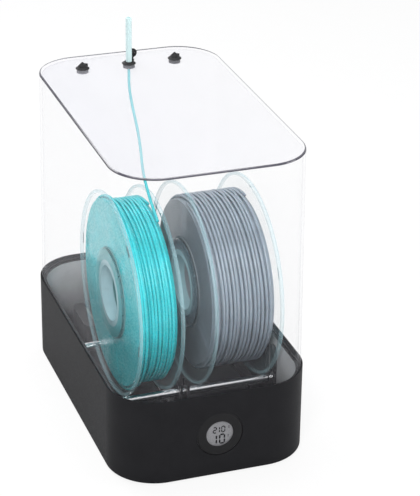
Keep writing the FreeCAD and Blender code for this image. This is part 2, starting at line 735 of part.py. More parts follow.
def spool(name, left_face, right_face, wound_diameter, spin, outer_on_left):
    turn = Rotation(Vector(0, 0, 1), spin)
    labels = (f"{name}_outer_flange", f"{name}_inner_flange")
    left_label, right_label = labels if outer_on_left else reversed(labels)
    nodes.append(flange(left_label, left_face, ABOUT_X.multiply(turn)))
    nodes.append(flange(right_label, right_face, ABOUT_X_REVERSED.multiply(turn)))
    inner_width = right_face - left_face - d.flange_thick * 2
    hub_radius = d.hub_diameter / 2
    hub = ring(f"{name}_hub", hub_radius - d.hub_wall, hub_radius, 0.0, inner_width)
    nodes.append(place(hub, left_face + d.flange_thick, 0.0, axle_z, ABOUT_X))
    core_radius = wound_diameter / 2 - d.filament_diameter - d.core_gap
    core = ring(f"{name}_core", hub_radius + d.core_gap, core_radius, 0.0, inner_width - d.wound_side_gap * 2)
    nodes.append(place(core, left_face + d.flange_thick + d.wound_side_gap, 0.0, axle_z, ABOUT_X))
    thick = d.filament_diameter.number
    side = d.flange_thick.number + d.wound_side_gap.number + thick / 2
    nodes.append(winding(f"{name}_winding", left_face.number + side, right_face.number - side,
                         wound_diameter.number / 2 - thick / 2, thick))


plate_face = inside_x - d.plate_thick
spool("left_spool", d.left_spool_space - plate_face, -d.left_spool_start,
      d.left_wound_diameter, LEFT_SPIN, True)
spool("right_spool", d.right_spool_start, plate_face - d.right_spool_space,
      d.right_wound_diameter, RIGHT_SPIN, False)

# Free end of the left filament: off the winding, taut up to the centre port, then up the guide tube
STRAND_ROUTE = [
    Vector(0.0, 119.5, 352.0),
    Vector(0.0, 119.5, 276.0),
    Vector(-5.6, 66.0, 247.5),
    Vector(-19.2, 12.0, 226.6),
    Vector(-19.9, -34.0, 206.9),
]


def strand(label, route, thick):
    edges = []
    radii = []
    here = route[0]
    for before, corner, after in zip(route, route[1:], route[2:]):
        way_in = corner - before
        way_out = after - corner
        trim = 0.45 * min(way_in.Length, way_out.Length)
        radii.append(round(trim / math.tan(way_in.getAngle(way_out) / 2), 1))
        start = corner - way_in.normalize() * trim
        end = corner + way_out.normalize() * trim
        edges.append(Part.LineSegment(here, start).toShape())
        edges.append(arc_through(start, corner, end))
        here = end
    edges.append(Part.LineSegment(here, route[-1]).toShape())
    item = doc.addObject("Part::Feature", label)
    item.Label = label
    item.Shape = round_tube(Part.Wire(edges), thick / 2)
    length = sum(edge.Length for edge in edges)
    print(label, "radii", radii, "length", round(length, 1),
          "volume ratio", round(item.Shape.Volume / (math.pi * thick * thick / 4 * length), 4))
    return item


nodes.append(strand("filament_strand", STRAND_ROUTE, d.filament_diameter.number))


# Desiccant cassettes on the liner's floor
def cassette(name, middle):
    half_x = d.cassette_width / 2
    half_y = d.cassette_depth / 2
    tray = new_body(f"{name}_cassette_tray")
    sketch = sketch_on(tray, "XY_Plane")
    add_rounded_rectangle(sketch, half_x, half_y, d.cassette_corner)
    pad(tray, sketch, d.cassette_height)
    sketch = sketch_on(tray, "XY_Plane", d.cassette_height)
    wall = d.cassette_wall
    add_rounded_rectangle(sketch, half_x - wall, half_y - wall, d.cassette_corner - wall)
    pocket(tray, sketch, d.cassette_height - wall)
    nodes.append(place(tray, 0.0, middle, deck_z))
    fill = new_body(f"{name}_desiccant")
    sketch = sketch_on(fill, "XY_Plane")
    inset = wall + d.fill_gap
    add_rounded_rectangle(sketch, half_x - inset, half_y - inset, d.cassette_corner - inset)
    pad(fill, sketch, d.cassette_height - wall - d.fill_gap)
    nodes.append(place(fill, 0.0, middle, deck_z + wall))
    lid = new_body(f"{name}_cassette_lid")
    sketch = sketch_on(lid, "XY_Plane")
    add_rounded_rectangle(sketch, half_x, half_y, d.cassette_corner)
    pad(lid, sketch, d.cassette_lid)
    sketch = sketch_on(lid, "XY_Plane", d.cassette_lid)
    slot_half = d.grille_slot / 2
    slot_reach = d.grille_length / 2 - slot_half
    first_x = -d.grille_pitch * ((GRILLE_SLOTS - 1) / 2)
    add_round_outline(sketch, [(first_x, -slot_reach), (first_x, slot_reach)], slot_half)
    slot = pocket(lid, sketch, d.cassette_lid * 2)
    row = lid.newObject("PartDesign::LinearPattern", "Grille")
    row.Originals = [slot]
    row.Direction = (origin_feature(lid, "X_Axis"), [""])
    bind(row, "Length", d.grille_pitch * (GRILLE_SLOTS - 1))
    row.Occurrences = GRILLE_SLOTS
    lid.Tip = row
    nodes.append(place(lid, 0.0, middle, deck_z + d.cassette_height))


cassette_place = half_depth - d.cassette_inset - d.cassette_depth / 2
cassette("front", -cassette_place)
cassette("rear", cassette_place)

# Round meter in the front wall, drawn with its axis out of the front face
meter_face_r = d.meter_face / 2
meter_body_r = d.meter_body / 2
window_r = d.meter_window / 2
seat_r = window_r + d.meter_flange
barrel_r = meter_body_r - d.meter_wall
flange_low = -d.meter_recess
flange_high = flange_low + d.meter_flange
front_low = flange_high - d.meter_front
display_low = flange_high - d.lens_thick
board_low = front_low - d.board_thick
cell_low = board_low - d.cell_height
back_low = cell_low - d.back_thick


def meter_piece(body):
    return place(body, 0.0, -half_depth, d.meter_height, FACING_FRONT)


nodes.append(meter_piece(turned("meter_case", [
    (seat_r, flange_high),
    (meter_face_r, flange_high),
    (meter_face_r, flange_low),
    (meter_body_r, flange_low),
    (meter_body_r, back_low),
    (barrel_r, back_low),
    (barrel_r, front_low),
    (seat_r, front_low),
])))
nodes.append(meter_piece(turned("meter_bezel", [
    (window_r, flange_high),
    (meter_face_r, flange_high),
    (meter_face_r, flange_high + d.bezel_thick / 3),
    (meter_face_r - d.bezel_slope, flange_high + d.bezel_thick),
    (window_r + d.bezel_slope, flange_high + d.bezel_thick),
    (window_r, flange_high + d.bezel_thick / 3),
])))
nodes.append(meter_piece(disc("meter_lens", seat_r - d.bush_gap, display_low, flange_high)))
nodes.append(meter_piece(disc("meter_display", seat_r - d.bush_gap, front_low, display_low)))
nodes.append(meter_piece(disc("meter_board", barrel_r - d.meter_gap, board_low, front_low)))
cell = disc("cell_shape", d.cell_diameter / 2, cell_low, board_low)
cell_places = []
for side in (-1, 1):
    spot = Vector(d.cell_spread.number * side, -half_depth.number, d.meter_height.number)
    cell_places.append(Placement(spot, FACING_FRONT))
nodes.append(group("meter_cells", cell, cell_places))
meter_back = disc("meter_back", barrel_r - d.meter_gap, back_low, cell_low)
sketch = sketch_on(meter_back, "XY_Plane", cell_low)
add_circle(sketch, d.vent_radius, 0.0, d.vent_diameter / 2)
ring_pattern(meter_back, pocket(meter_back, sketch, d.back_thick * 2), METER_VENTS)
nodes.append(meter_piece(meter_back))

# Clear cover: drafted shell with three holes in its roof
cover_inset = d.rim_lip + d.cover_gap
cover = new_body("cover_shell")


def cover_loft(kind, inset, levels):
    sections = []
    for z, lean in levels:
        shift = cover_inset + inset + lean
        sketch = sketch_on(cover, "XY_Plane", z)
        add_rounded_rectangle(sketch, half_width - shift, half_depth - shift, d.base_corner - shift)
        sections.append(sketch)
    feature = cover.newObject(kind, "Walls")
    feature.Profile = sections[0]
    feature.Sections = [(section, [""]) for section in sections[1:]]
    feature.Ruled = True
    return feature


upright = as_size(0.0)
edge_step = d.cover_edge * 0.3
cover_loft("PartDesign::AdditiveLoft", upright, [
    (cover_z, upright),
    (d.cover_height - d.cover_edge, d.cover_draft),
    (d.cover_height - edge_step, d.cover_draft + edge_step),
    (d.cover_height, d.cover_draft + d.cover_edge),
])
cover_loft("PartDesign::SubtractiveLoft", d.cover_wall, [
    (cover_z, upright),
    (d.cover_height - d.cover_roof, d.cover_draft),
])
port_places = {"left": -d.port_spread, "centre": as_size(0.0), "right": d.port_spread}
sketch = sketch_on(cover, "XY_Plane", d.cover_height)
for x in port_places.values():
    add_circle(sketch, x, port_back, d.port_neck / 2 + d.port_neck_gap)
pocket(cover, sketch, d.cover_roof * 2)
nodes.append(cover)

# Rubber ports and their plugs, drawn with the roof at local zero and the strap along local X
STRAP_TURN = Rotation(Vector(0, 0, 1), 45)


hinge_rise = d.port_top + d.plug_gap + d.strap_thick / 2


def port(name, x):
    foot_r = d.port_flange / 2
    bottom = -d.cover_roof - d.port_bottom
    body = turned(f"{name}_port", [
        (d.port_bore / 2, d.port_top),
        (d.port_crown / 2, d.port_top),
        (foot_r, d.port_edge),
        (foot_r, 0.0),
        (d.port_neck / 2, 0.0),
        (d.port_neck / 2, -d.cover_roof),
        (d.port_under / 2, -d.cover_roof),
        (d.port_under / 2, bottom),
        (d.port_bore / 2, bottom),
    ])
    lug_start = d.hinge_reach + d.strap_thick / 2 + d.lug_gap
    lug_end = lug_start + d.lug_length
    sketch = sketch_on(body, "XZ_Plane", -d.strap_width / 2)
    add_polygon(sketch, [
        (d.port_neck / 2, 0.0),
        (lug_end, 0.0),
        (lug_end, hinge_rise - d.strap_thick / 4),
        (lug_start, hinge_rise - d.strap_thick / 4),
        (lug_start, d.port_edge),
        (d.port_neck / 2, d.port_edge),
    ])
    pad(body, sketch, d.strap_width)
    return place(body, x, port_back, d.cover_height, STRAP_TURN)


def plug(name, x, opening):
    base = -d.strap_thick / 2
    tip = base + d.plug_rise
    stem_end = base - d.plug_stem_length
    body = turned(f"{name}_plug", [
        (0.0, stem_end),
        (d.plug_stem_tip / 2, stem_end),
        (d.plug_stem / 2, base),
        (d.plug_diameter / 2, base),
        (d.plug_diameter / 2, base + d.plug_edge),
        (d.plug_nub / 2, tip),
        (0.0, tip),
    ])
    sketch = sketch_on(body, "XZ_Plane", -d.strap_width / 2)
    half_strap = d.strap_thick / 2
    add_round_outline(sketch, [(d.plug_stem_tip / 2, 0.0), (d.hinge_reach, 0.0)], half_strap)
    pad(body, sketch, d.strap_width)
    swing = Rotation(Vector(0, 1, 0), opening)
    bend = Vector(d.hinge_reach.number, 0, 0)
    corner = STRAP_TURN.multVec(bend - swing.multVec(bend))
    return place(body, x + corner.x, port_back + corner.y, d.cover_height + hinge_rise + corner.z,
                 STRAP_TURN.multiply(swing))


for name, x in port_places.items():
    nodes.append(port(name, x))
    nodes.append(plug(name, x, d.plug_open.number if name == "centre" else 0.0))

guide = ring("guide_tube", d.tube_bore / 2, d.tube_outside / 2, -d.cover_roof - d.port_bottom, d.tube_rise)
nodes.append(place(guide, port_places["centre"], port_back, d.cover_height))

doc.recompute()

# Every feature has to be sound, and every cut has to remove something, before anything is written
for item in doc.Objects:
    if "Invalid" in item.State or "Error" in item.State:
        raise RuntimeError(f"{item.Label} failed: {item.State}")
    if item.isDerivedFrom("PartDesign::Pocket"):
        if item.Shape.Volume > item.BaseFeature.Shape.Volume - 0.01:
            raise RuntimeError(f"{item.Name} of {item.getParentGeoFeatureGroup().Label} cuts nothing")
for node in nodes:
    if node.Shape.isNull() or not node.Shape.isValid():
        raise RuntimeError(f"{node.Label} has no sound shape")

os.makedirs("parts", exist_ok=True)
for node in nodes:
    node.Shape.exportStep(f"parts/{node.Label}.step")
    box = node.Shape.BoundBox
    print(node.Label, "solids", len(node.Shape.Solids), "volume", round(node.Shape.Volume),
          "x", round(box.XMin, 2), round(box.XMax, 2), "y", round(box.YMin, 2), round(box.YMax, 2),
          "z", round(box.ZMin, 2), round(box.ZMax, 2))
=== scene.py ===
import math
import random

import bpy
from mathutils import Matrix, Vector


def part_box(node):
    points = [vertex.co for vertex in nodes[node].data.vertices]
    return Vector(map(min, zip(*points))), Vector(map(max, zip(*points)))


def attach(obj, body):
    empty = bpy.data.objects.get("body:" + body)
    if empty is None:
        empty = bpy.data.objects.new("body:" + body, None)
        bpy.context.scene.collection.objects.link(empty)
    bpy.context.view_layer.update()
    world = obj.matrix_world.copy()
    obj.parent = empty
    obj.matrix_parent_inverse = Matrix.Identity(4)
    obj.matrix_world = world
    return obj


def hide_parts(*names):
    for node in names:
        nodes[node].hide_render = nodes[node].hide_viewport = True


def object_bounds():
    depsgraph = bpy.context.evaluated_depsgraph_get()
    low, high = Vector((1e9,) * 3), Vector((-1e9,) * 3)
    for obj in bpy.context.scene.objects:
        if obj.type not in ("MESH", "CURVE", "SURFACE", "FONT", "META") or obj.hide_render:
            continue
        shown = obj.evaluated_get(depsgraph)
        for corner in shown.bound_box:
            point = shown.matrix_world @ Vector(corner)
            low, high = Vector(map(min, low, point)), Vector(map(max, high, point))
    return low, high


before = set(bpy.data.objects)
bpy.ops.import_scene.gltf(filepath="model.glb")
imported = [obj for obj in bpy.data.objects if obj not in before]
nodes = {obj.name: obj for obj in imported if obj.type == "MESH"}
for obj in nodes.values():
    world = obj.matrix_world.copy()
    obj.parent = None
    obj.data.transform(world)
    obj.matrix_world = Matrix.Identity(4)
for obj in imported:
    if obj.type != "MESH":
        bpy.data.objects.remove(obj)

cad_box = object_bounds()
scene = bpy.context.scene


def new_mesh(name, points, faces, finish, smooth=True):
    data = bpy.data.meshes.new(name)
    data.from_pydata(points, [], faces)
    data.update()
    if smooth:
        data.shade_smooth()
    data.materials.append(finish)
    item = bpy.data.objects.new(name, data)
    scene.collection.objects.link(item)
    return item


# Camera at the photographed angle
def add_camera():
    data = bpy.data.cameras.new("camera")
    data.sensor_width = 36.0
    data.lens = 144.09
    data.clip_end = 20.0
    camera = bpy.data.objects.new("camera", data)
    scene.collection.objects.link(camera)
    right = Vector((0.94374, -0.33043, 0.01279))
    up = Vector((0.13427, 0.41824, 0.89836))
    back = Vector((-0.30220, -0.84610, 0.43908))
    turn = Matrix((right, up, back)).transposed().to_4x4()
    place = Vector((-0.53580, -1.62409, 0.99679))
    camera.matrix_world = Matrix.Translation(place) @ turn
    scene.camera = camera


add_camera()


# Node helpers
class Nodes:
    """A material's node tree with short ways to add and join nodes."""

    def __init__(self, name):
        self.material = bpy.data.materials.new(name)
        self.material.use_nodes = True
        self.tree = self.material.node_tree
        self.shader = self.tree.nodes["Principled BSDF"]

    def add(self, kind, **settings):
        node = self.tree.nodes.new(kind)
        for key, value in settings.items():
            setattr(node, key, value)
        return node

    def join(self, source, target):
        self.tree.links.new(source, target)

    def noise(self, scale, detail=3.0, rough=0.55, stretch=(1.0, 1.0, 1.0)):
        place = self.add("ShaderNodeTexCoord")
        size = self.add("ShaderNodeMapping")
        size.inputs["Scale"].default_value = stretch
        self.join(place.outputs["Object"], size.inputs["Vector"])
        noise = self.add("ShaderNodeTexNoise")
        noise.inputs["Scale"].default_value = scale
        noise.inputs["Detail"].default_value = detail
        noise.inputs["Roughness"].default_value = rough
        self.join(size.outputs["Vector"], noise.inputs["Vector"])
        return noise.outputs["Fac"]

    def spread(self, source, low, high, start=0.3, end=0.7):
        span = self.add("ShaderNodeMapRange")
        span.inputs["From Min"].default_value = start
        span.inputs["From Max"].default_value = end
        span.inputs["To Min"].default_value = low
        span.inputs["To Max"].default_value = high
        self.join(source, span.inputs["Value"])
        return span.outputs["Result"]

    def colours(self, source, stops):
        ramp = self.add("ShaderNodeValToRGB")
        elements = ramp.color_ramp.elements
        while len(elements) < len(stops):
            elements.new(0.5)
        for element, (position, colour) in zip(elements, stops):
            element.position = position
            element.color = (*colour, 1.0)
        self.join(source, ramp.inputs["Fac"])
        return ramp.outputs["Color"]

    def bump(self, source, distance, strength=0.5):
        bump = self.add("ShaderNodeBump")
        bump.inputs["Distance"].default_value = distance
        bump.inputs["Strength"].default_value = strength
        self.join(source, bump.inputs["Height"])
        self.join(bump.outputs["Normal"], self.shader.inputs["Normal"])

    def math(self, operation, first, second=None):
        node = self.add("ShaderNodeMath", operation=operation)
        for socket, value in zip(node.inputs, (first, second)):
            if isinstance(value, (int, float)):
                socket.default_value = value
            elif value is not None:
                self.join(value, socket)
        return node.outputs[0]


def shade(colour, factor):
    return tuple(min(1.0, part * factor) for part in colour)


def solid_material(name, colour, rough, grain=900.0, depth=0.00006, vary=0.12, coat=0.0, gloss=0.5,
                   painted_shade=None):
    """A moulded surface with fine grain and slight mottling; it can get painted shade, darker low down and on
    its upward faces.
    """
    made = Nodes(name)
    cloud = made.noise(38.0, 4.0)
    tone = made.colours(cloud, [(0.3, shade(colour, 1 - vary)), (0.7, shade(colour, 1 + vary))])
    # Painted shade: the colour darkens towards the bottom and on faces that look up.
    if painted_shade:
        low, high, deep = painted_shade
        place = made.add("ShaderNodeTexCoord")
        parts = made.add("ShaderNodeSeparateXYZ")
        made.join(place.outputs["Object"], parts.inputs["Vector"])
        blend = made.add("ShaderNodeMix", data_type="RGBA")
        made.join(made.spread(parts.outputs["Z"], 0.0, 1.0, low, high), blend.inputs["Factor"])
        blend.inputs["A"].default_value = (*deep, 1.0)
        made.join(tone, blend.inputs["B"])
        tone = blend.outputs["Result"]
        faces = made.add("ShaderNodeNewGeometry")
        upright = made.add("ShaderNodeSeparateXYZ")
        made.join(faces.outputs["True Normal"], upright.inputs["Vector"])
        shaded_upward = made.add("ShaderNodeMix", data_type="RGBA")
        made.join(made.math("GREATER_THAN", upright.outputs["Z"], 0.5), shaded_upward.inputs["Factor"])
        made.join(tone, shaded_upward.inputs["A"])
        shaded_upward.inputs["B"].default_value = (*deep, 1.0)
        tone = shaded_upward.outputs["Result"]
    made.join(tone, made.shader.inputs["Base Color"])
    made.shader.inputs["Specular IOR Level"].default_value = gloss
    fine = made.noise(grain, 2.0)
    made.join(made.spread(fine, rough * 0.82, min(1.0, rough * 1.18)), made.shader.inputs["Roughness"])
    if coat:
        made.shader.inputs["Coat Weight"].default_value = coat
        made.shader.inputs["Coat Roughness"].default_value = 0.12
    made.bump(fine, depth)
    return made.material


def brushed_material(name, colour, rough, stretch):
    """Ground steel with fine lines along the turning direction."""
    made = Nodes(name)
    lines = made.noise(60.0, 5.0, 0.7, stretch)
    made.join(made.colours(lines, [(0.25, shade(colour, 0.8)), (0.75, shade(colour, 1.12))]),
              made.shader.inputs["Base Color"])
    made.join(made.spread(lines, rough * 0.7, rough * 1.4), made.shader.inputs["Roughness"])
    made.shader.inputs["Metallic"].default_value = 1.0
    made.bump(lines, 0.00002, 0.35)
    return made.material


# Upright part of a normal where the cover's rounded rim starts and where its level roof starts
LEAN_START = 0.2
LEVEL_START = 0.97


def clear_material(name, colour, face, edge, power, rough=0.08, painted_rim_shade=None, rim_alpha=0.9, roof_shade_amount=0.0):
    """Clear plastic, denser along its edges; it can get painted shade on its rounded edge and a grey veil of
    painted shade on its roof, heavier towards the left.
    """
    made = Nodes(name)
    cloud = made.noise(14.0, 3.0)
    tint = made.colours(cloud, [(0.2, shade(colour, 0.94)), (0.8, shade(colour, 1.05))])
    facing = made.add("ShaderNodeLayerWeight")
    facing.inputs["Blend"].default_value = 0.5
    grazing = made.math("POWER", facing.outputs["Facing"], power)
    alpha = made.math("MULTIPLY_ADD", grazing, edge)
    alpha.node.inputs[2].default_value = face
    if painted_rim_shade:
        place = made.add("ShaderNodeNewGeometry")
        parts = made.add("ShaderNodeSeparateXYZ")
        made.join(place.outputs["True Normal"], parts.inputs["Vector"])
        lean = made.math("ABSOLUTE", parts.outputs["Z"])
        level = made.math("GREATER_THAN", lean, LEVEL_START)
        leaning = made.math("GREATER_THAN", lean, LEAN_START)
        rounded = made.math("MULTIPLY", leaning, made.math("LESS_THAN", lean, LEVEL_START))
        spot = made.add("ShaderNodeTexCoord")
        sides = made.add("ShaderNodeSeparateXYZ")
        made.join(spot.outputs["Object"], sides.inputs["Vector"])
        # Painted shade on the roof: a grey veil, denser towards the left.
        painted_roof_shade = made.spread(sides.outputs["X"], roof_shade_amount * 1.5, roof_shade_amount * 0.5, cad_box[0].x, cad_box[1].x)
        alpha = made.math("ADD", alpha, made.math("MULTIPLY", level, painted_roof_shade))
        # Painted shade: the rounded edge gets a dark colour that stands in for the dark a curved clear edge
        # shows.
        blend = made.add("ShaderNodeMix", data_type="RGBA")
        made.join(rounded, blend.inputs["Factor"])
        made.join(tint, blend.inputs["A"])
        blend.inputs["B"].default_value = (*painted_rim_shade, 1.0)
        tint = blend.outputs["Result"]
        alpha = made.math("MAXIMUM", alpha, made.math("MULTIPLY", rounded, rim_alpha))
    made.join(tint, made.shader.inputs["Base Color"])
    made.join(alpha, made.shader.inputs["Alpha"])
    made.join(made.spread(cloud, rough * 0.8, rough * 1.2), made.shader.inputs["Roughness"])
    made.shader.inputs["IOR"].default_value = 1.5
    return made.material


# Width of a flange's bead, which carries a painted highlight, and the share of the drum's radius that the
# pale collar covers
BEAD_START, BEAD_END = 0.0034, 0.0026
COLLAR_END, COLLAR_FADE = 0.72, 0.76


def flange_material(name, colour, deep, wound, face, edge, rim_alpha, web_alpha):
    """Clear flange: a painted highlight on its bead, pale collar round the bore and the filament's tone over
    the drum.
    """
    made = Nodes(name)
    place = made.add("ShaderNodeTexCoord")
    from_axle = made.add("ShaderNodeMapping")
    from_axle.inputs["Location"].default_value = (0.0, 0.0, -AXLE)
    from_axle.inputs["Scale"].default_value = (0.0, 1.0, 1.0)
    made.join(place.outputs["Object"], from_axle.inputs["Vector"])
    length = made.add("ShaderNodeVectorMath", operation="LENGTH")
    made.join(from_axle.outputs["Vector"], length.inputs[0])
    radius = length.outputs["Value"]
    bead_highlight = made.spread(radius, 0.0, 1.0, SPOOL_RADIUS - BEAD_START, SPOOL_RADIUS - BEAD_END)
    web = made.spread(radius, 1.0, 0.0, DRUM_RADIUS - 0.001, DRUM_RADIUS + 0.0005)
    collar = made.spread(radius, 1.0, 0.0, DRUM_RADIUS * COLLAR_END, DRUM_RADIUS * COLLAR_FADE)
    cloud = made.noise(24.0, 3.0)
    clear = made.colours(cloud, [(0.25, deep), (0.75, colour)])
    over_drum = made.add("ShaderNodeMix", data_type="RGBA")
    made.join(made.math("SUBTRACT", web, collar), over_drum.inputs["Factor"])
    made.join(clear, over_drum.inputs["A"])
    over_drum.inputs["B"].default_value = (*wound, 1.0)
    tint = over_drum.outputs["Result"]
    facing = made.add("ShaderNodeLayerWeight")
    facing.inputs["Blend"].default_value = 0.5
    grazing = made.math("POWER", facing.outputs["Facing"], 3.0)
    even = made.spread(cloud, face * 0.7, face * 1.3)
    alpha = made.math("ADD", made.math("MULTIPLY", grazing, edge), even)
    # Painted highlight: the bead gets a denser pale band along the rim.
    alpha = made.math("MAXIMUM", alpha, made.math("MULTIPLY", bead_highlight, rim_alpha))
    alpha = made.math("MAXIMUM", alpha, made.math("MULTIPLY", web, web_alpha))
    made.shader.inputs["Specular IOR Level"].default_value = 0.3
    made.join(tint, made.shader.inputs["Base Color"])
    made.join(alpha, made.shader.inputs["Alpha"])
    made.join(made.spread(cloud, 0.08, 0.16), made.shader.inputs["Roughness"])
    made.shader.inputs["IOR"].default_value = 1.5
    return made.material


def filament_material(name, colour, rough):
    """Extruded plastic strand with a soft sheen and slow changes of tone."""
    made = Nodes(name)
    cloud = made.noise(55.0, 3.0)
    made.join(made.colours(cloud, [(0.25, shade(colour, 0.86)), (0.75, shade(colour, 1.1))]),
              made.shader.inputs["Base Color"])
    fine = made.noise(700.0, 2.0)
    made.join(made.spread(fine, rough * 0.85, rough * 1.2), made.shader.inputs["Roughness"])
    made.shader.inputs["Subsurface Weight"].default_value = 0.08
    made.shader.inputs["Subsurface Scale"].default_value = 0.002
    made.bump(fine, 0.00003, 0.3)
    return made.material


def beads_material(name, colour):
    """Desiccant beads seen through the slots of a lid."""
    made = Nodes(name)
    place = made.add("ShaderNodeTexCoord")
    cells = made.add("ShaderNodeTexVoronoi")
    cells.inputs["Scale"].default_value = 320.0
    made.join(place.outputs["Object"], cells.inputs["Vector"])
    distance = cells.outputs["Distance"]
    # Painted shade: each bead is pale at its centre and darker towards its edge, where the beads meet.
    made.join(made.colours(distance, [(0.1, shade(colour, 1.1)), (0.6, shade(colour, 0.55))]),
              made.shader.inputs["Base Color"])
    made.join(made.spread(distance, 0.35, 0.7, 0.0, 0.6), made.shader.inputs["Roughness"])
    made.bump(distance, 0.001, 0.8)
    return made.material


# Middle height of the spools and the reach of their flanges and drums
def spool_sizes():
    low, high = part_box("left_spool_outer_flange")
    drum_low, drum_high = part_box("left_spool_hub")
    return (low.z + high.z) / 2, (high.z - low.z) / 2, (drum_high.z - drum_low.z) / 2


AXLE, SPOOL_RADIUS, DRUM_RADIUS = spool_sizes()

# Materials
TEAL = (0.035, 0.62, 0.67)
GREY = (0.30, 0.36, 0.42)
PALE_CLEAR = (0.62, 0.88, 0.93)
DEEP_CLEAR = (0.46, 0.76, 0.84)
base_black = solid_material("base_black", (0.0115, 0.0115, 0.0130), 0.55, grain=1500.0, gloss=0.07)
# The liner's painted shade: dark below 20 mm, full colour from 74 mm up, and dark on its upward faces.
liner_grey = solid_material("liner_grey", (0.60, 0.605, 0.615), 0.6, grain=1200.0, gloss=0.25,
                            painted_shade=(0.020, 0.074, (0.020, 0.020, 0.022)))
plate_black = solid_material("plate_black", (0.016, 0.016, 0.017), 0.4, gloss=0.3)
bush_black = solid_material("bush_black", (0.03, 0.03, 0.032), 0.4, gloss=0.3)
rubber_black = solid_material("rubber_black", (0.012, 0.012, 0.013), 0.6, grain=700.0, depth=0.0001,
                              gloss=0.25)
screw_steel = brushed_material("screw_steel", (0.5, 0.5, 0.52), 0.35, (1.0, 1.0, 8.0))
rod_steel = brushed_material("rod_steel", (0.72, 0.73, 0.75), 0.2, (14.0, 1.0, 1.0))
cell_steel = brushed_material("cell_steel", (0.6, 0.6, 0.62), 0.3, (1.0, 10.0, 1.0))
left_flange = flange_material("left_flange", PALE_CLEAR, DEEP_CLEAR, (0.16, 0.56, 0.60),
                              face=0.035, edge=0.05, rim_alpha=0.30, web_alpha=0.6)
right_flange = flange_material("right_flange", PALE_CLEAR, DEEP_CLEAR, (0.24, 0.31, 0.36),
                               face=0.035, edge=0.05, rim_alpha=0.30, web_alpha=0.6)
left_drum = clear_material("left_drum", (0.30, 0.66, 0.68), 0.62, 0.3, 2.0, rough=0.2)
right_drum = clear_material("right_drum", (0.46, 0.52, 0.56), 0.62, 0.3, 2.0, rough=0.2)
# The cover's dark rim colour and its roof veil are painted shade.
cover_clear = clear_material("cover_clear", (0.62, 0.62, 0.68), 0.02, 0.5, 9.0,
                             painted_rim_shade=(0.035, 0.032, 0.055), rim_alpha=0.95, roof_shade_amount=0.19)
tube_clear = clear_material("tube_clear", (0.74, 0.92, 0.92), 0.72, 0.2, 2.0, rough=0.4)
lens_clear = clear_material("lens_clear", (0.60, 0.60, 0.64), 0.02, 0.2, 4.0, rough=0.04)
teal_strand = filament_material("teal_strand", TEAL, 0.26)
grey_strand = filament_material("grey_strand", GREY, 0.3)
cassette_black = solid_material("cassette_black", (0.02, 0.02, 0.021), 0.5, gloss=0.3)
beads_white = beads_material("beads_white", (0.35, 0.34, 0.32))
meter_black = solid_material("meter_black", (0.010, 0.010, 0.011), 0.38, coat=0.2, gloss=0.3)
bezel_grey = solid_material("bezel_grey", (0.011, 0.011, 0.012), 0.42, gloss=0.12)
display_grey = solid_material("display_grey", (0.21, 0.21, 0.22), 0.4, grain=2500.0, depth=0.00001, vary=0.06,
                              gloss=0.2)
digit_black = solid_material("digit_black", (0.004, 0.004, 0.005), 0.6, grain=2500.0, depth=0.00001,
                             gloss=0.1)
board_green = solid_material("board_green", (0.03, 0.16, 0.07), 0.4)

FINISHES = {
    base_black: ["outer_shell"],
    liner_grey: ["inner_tub"],
    plate_black: ["left_rod_plate", "right_rod_plate", "centre_stand"],
    bush_black: ["rod_bushes"],
    rubber_black: ["rim_gasket", "rubber_feet", "left_port", "centre_port", "right_port",
                   "left_plug", "centre_plug", "right_plug"],
    screw_steel: ["tub_screws", "stand_screws"],
    rod_steel: ["front_left_rod", "rear_left_rod", "front_right_rod", "rear_right_rod"],
    cell_steel: ["meter_cells"],
    left_flange: ["left_spool_outer_flange", "left_spool_inner_flange"],
    right_flange: ["right_spool_inner_flange", "right_spool_outer_flange"],
    left_drum: ["left_spool_hub"],
    right_drum: ["right_spool_hub"],
    cover_clear: ["cover_shell"],
    tube_clear: ["guide_tube"],
    lens_clear: ["meter_lens"],
    cassette_black: ["front_cassette_tray", "front_cassette_lid", "rear_cassette_tray", "rear_cassette_lid"],
    beads_white: ["front_desiccant", "rear_desiccant"],
    meter_black: ["meter_case", "meter_back"],
    bezel_grey: ["meter_bezel"],
    display_grey: ["meter_display"],
    board_green: ["meter_board"],
}
for finish, names in FINISHES.items():
    for name in names:
        data = nodes[name].data
        data.materials.clear()
        data.materials.append(finish)


STRAND_RADIUS = 0.001425

# Free end of the left filament
STRAND_ROUTE = [
    (0.0, 0.1195, 0.352),
    (0.0, 0.1195, 0.318),
    (0.0, 0.1195, 0.300),
    (0.0, 0.1195, 0.276),
    (-0.0056, 0.066, 0.2475),
    (-0.0192, 0.012, 0.2266),
    (-0.0199, -0.034, 0.2069),
]


def add_strand():
    data = bpy.data.curves.new("filament_end", "CURVE")
    data.dimensions = "3D"
    data.bevel_depth = STRAND_RADIUS
    data.bevel_resolution = 4
    data.use_fill_caps = True
    data.resolution_u = 24
    spline = data.splines.new("NURBS")
    spline.points.add(len(STRAND_ROUTE) - 1)
    for point, place in zip(spline.points, STRAND_ROUTE):
        point.co = (*place, 1.0)
    spline.order_u = 3
    spline.use_endpoint_u = True
    data.materials.append(teal_strand)
    strand = bpy.data.objects.new("filament_end", data)
    scene.collection.objects.link(strand)
    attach(strand, "base")
    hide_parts("filament_strand")


add_strand()


# Wound filament: an outer layer of turns, the layer that shows between them, and layered sides
# Steps in one turn and round the strand, and round the ring and up its sides
STEPS = 72
SIDES = 10
RING_SIDES = 120
RING_STEPS = 40
# How unevenly the turns lie
WANDER = 0.0004
WANDER_PHASE = 2.3
FLUTTER = 0.00012
FLUTTER_PHASE = 1.7
UNEVEN_STEP = 0.16
LOWEST_LIFT, HIGHEST_LIFT = -0.00022, 0.00012
# Heights and widths of the layers
CLEARANCE = 0.0002
UNDER_LAYER = 0.0026
RING_DROP = 0.0028
SHOULDER_WIDTH = 0.0054
SHOULDER_SLOPE = 0.7
LAYER = 0.0025
RIPPLE = 0.0004
SIDE_ROOM = 0.0006


